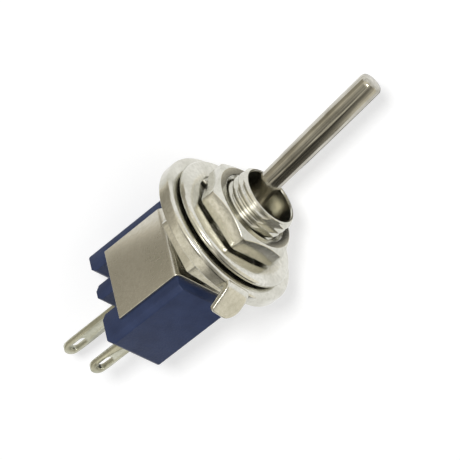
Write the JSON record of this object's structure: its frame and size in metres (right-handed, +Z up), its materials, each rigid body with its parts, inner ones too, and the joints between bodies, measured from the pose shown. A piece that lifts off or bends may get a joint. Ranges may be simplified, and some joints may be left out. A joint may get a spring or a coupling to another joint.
{
  "type": "panel toggle switch",
  "caption": "Sub-miniature panel toggle switch: bat lever in a threaded bushing, nuts, locating ring and lock washer, bracketed case with solder lugs.",
  "frame": {"origin": "on the bushing's axis, in the plane where the back of the panel seats: the upper face of the lower nut", "axes": "+Z up the bushing towards the lever, +X along the case's long way, towards the end lug and the locating tab"},
  "size_m": [0.0135, 0.012, 0.0314],
  "materials": {
    "case_plastic": "moulded dark navy thermoset, satin",
    "bracket_steel": "thin sheet steel, satin nickel plated, brownish reflections",
    "plated_brass": "turned brass, bright nickel plated",
    "plated_steel": "stamped steel, bright nickel plated",
    "lug_silver": "stamped brass, silver plated, slightly yellowed",
    "spring_steel": "drawn spring wire",
    "plunger_plastic": "natural moulded nylon",
    "rocker_brass": "rolled brass strip",
    "contact_silver": "solid silver contact, lightly burnished"
  },
  "bodies": {
    "switch_body": {"case": "case_plastic", "bracket": "bracket_steel", "bushing": "plated_brass", "lower_nut": "plated_steel", "locating_ring": "plated_steel", "lock_washer": "plated_steel", "upper_nut": "plated_steel", "end_contact": "contact_silver", "common_lug": "lug_silver", "end_lug": "lug_silver"},
    "toggle_lever": {"lever": "plated_brass", "plunger_spring": "spring_steel"},
    "spring_plunger": {"plunger": "plunger_plastic"},
    "contact_rocker": {"rocker": "rocker_brass", "rocker_contact": "contact_silver"}
  },
  "joints": [
    {"name": "lever_toggle", "type": "hinge", "parent": "switch_body", "child": "toggle_lever", "pos_m": [0, 0, -0.0025], "axis": [0, 1, 0], "range_deg": [0, 16]},
    {"name": "plunger_slide", "type": "slide", "parent": "toggle_lever", "child": "spring_plunger", "axis": [-0.1392, 0, 0.9903], "range_m": [0, 0.00035], "stiffness_N_per_m": 300, "springref_m": -0.0006, "deforming": ["plunger_spring"]},
    {"name": "rocker_tilt", "type": "hinge", "parent": "switch_body", "child": "contact_rocker", "pos_m": [0, 0, -0.0064], "axis": [0, 1, 0], "range_deg": [-10, 0]}
  ],
  "couplings": [
    {"joint": "rocker_tilt", "follows": "lever_toggle", "ratio": -0.625}
  ]
}
